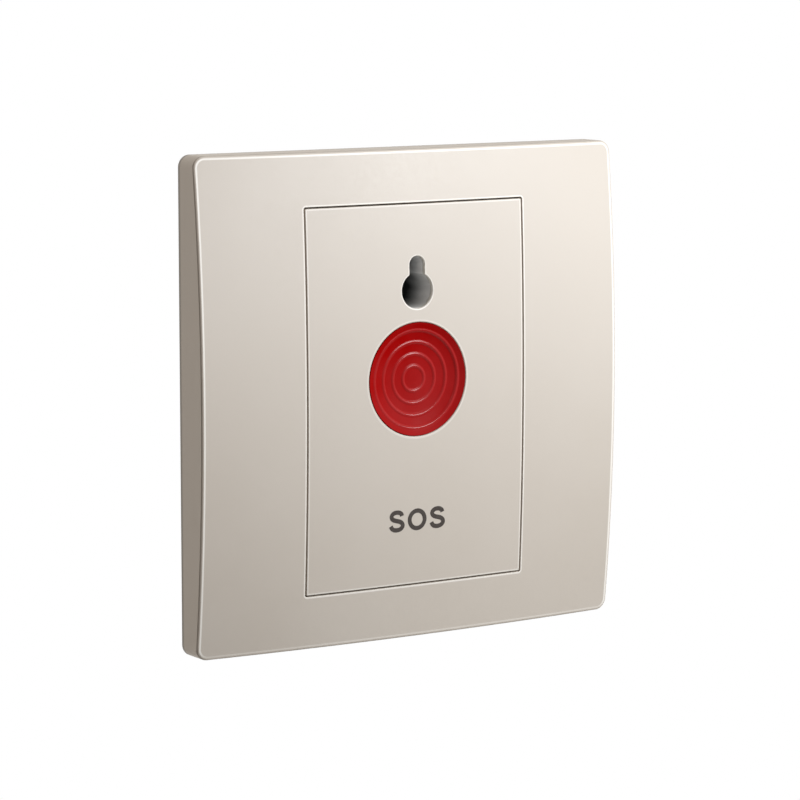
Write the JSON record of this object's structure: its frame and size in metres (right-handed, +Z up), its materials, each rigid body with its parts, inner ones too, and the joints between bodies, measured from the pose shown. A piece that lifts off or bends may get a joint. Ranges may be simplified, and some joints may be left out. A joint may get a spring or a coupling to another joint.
{
  "type": "emergency key switch",
  "caption": "Square crowned wall plate with a narrow centre panel, a dished red call button, and a keyhole for the key that lets the button go.",
  "frame": {"origin": "middle of the plate on the wall plane, midway between the two wall-box screws", "axes": "+Z up the plate, +X to the right seen from the front, +Y into the wall; the front looks towards -Y"},
  "size_m": [0.086, 0.0346, 0.086],
  "materials": {
    "satin_lacquer": "satin champagne lacquer on moulded plastic",
    "red_plastic": "moulded, semi-gloss",
    "grey_plastic": "moulded",
    "dark_plastic": "moulded",
    "white_plastic": "moulded",
    "natural_plastic": "moulded, slippery",
    "spring_steel": "drawn wire",
    "plated_steel": "zinc plated",
    "contact_brass": "pressed strip",
    "contact_silver": "silver faced"
  },
  "bodies": {
    "base": {"cover_frame": "satin_lacquer", "centre_panel": "satin_lacquer", "key_guide": "grey_plastic", "return_spring": "spring_steel", "latch_spring": "spring_steel", "fixing_frame": "white_plastic", "front_housing": "white_plastic", "rear_housing": "dark_plastic", "housing_screws": "plated_steel", "bracket_screws": "plated_steel", "rest_contact_right": "contact_brass", "rest_contact_left": "contact_brass", "call_contact_right": "contact_brass", "call_contact_left": "contact_brass", "strip_rivets": "contact_silver", "rest_clamp_right": "plated_steel", "rest_clamp_left": "plated_steel", "call_clamp_right": "plated_steel", "call_clamp_left": "plated_steel", "terminal_screws": "plated_steel"},
    "button": {"push_button": "red_plastic", "plunger": "natural_plastic", "contact_bridge": "contact_brass", "bridge_rivets": "contact_silver", "contact_spring": "spring_steel"},
    "latch": {"latch_slider": "plated_steel"},
    "key_barrel": {"key_rotor": "dark_plastic"}
  },
  "joints": [
    {"name": "button_press", "type": "slide", "parent": "base", "child": "button", "axis": [0, 1, 0], "range_m": [0, 0.0035], "stiffness_N_per_m": 700, "springref_m": -0.003, "deforming": ["return_spring"]},
    {"name": "key_turn", "type": "hinge", "parent": "base", "child": "key_barrel", "pos_m": [0, 0.00785, 0.01835], "axis": [0, 1, 0], "range_deg": [0, 60]},
    {"name": "latch_lift", "type": "slide", "parent": "base", "child": "latch", "axis": [0, 0, 1], "range_m": [0, 0.0016], "stiffness_N_per_m": 250, "springref_m": -0.002, "deforming": ["latch_spring"]}
  ],
  "couplings": [
    {"joint": "key_turn", "follows": "latch_lift", "rad_per_m": 654.49}
  ]
}
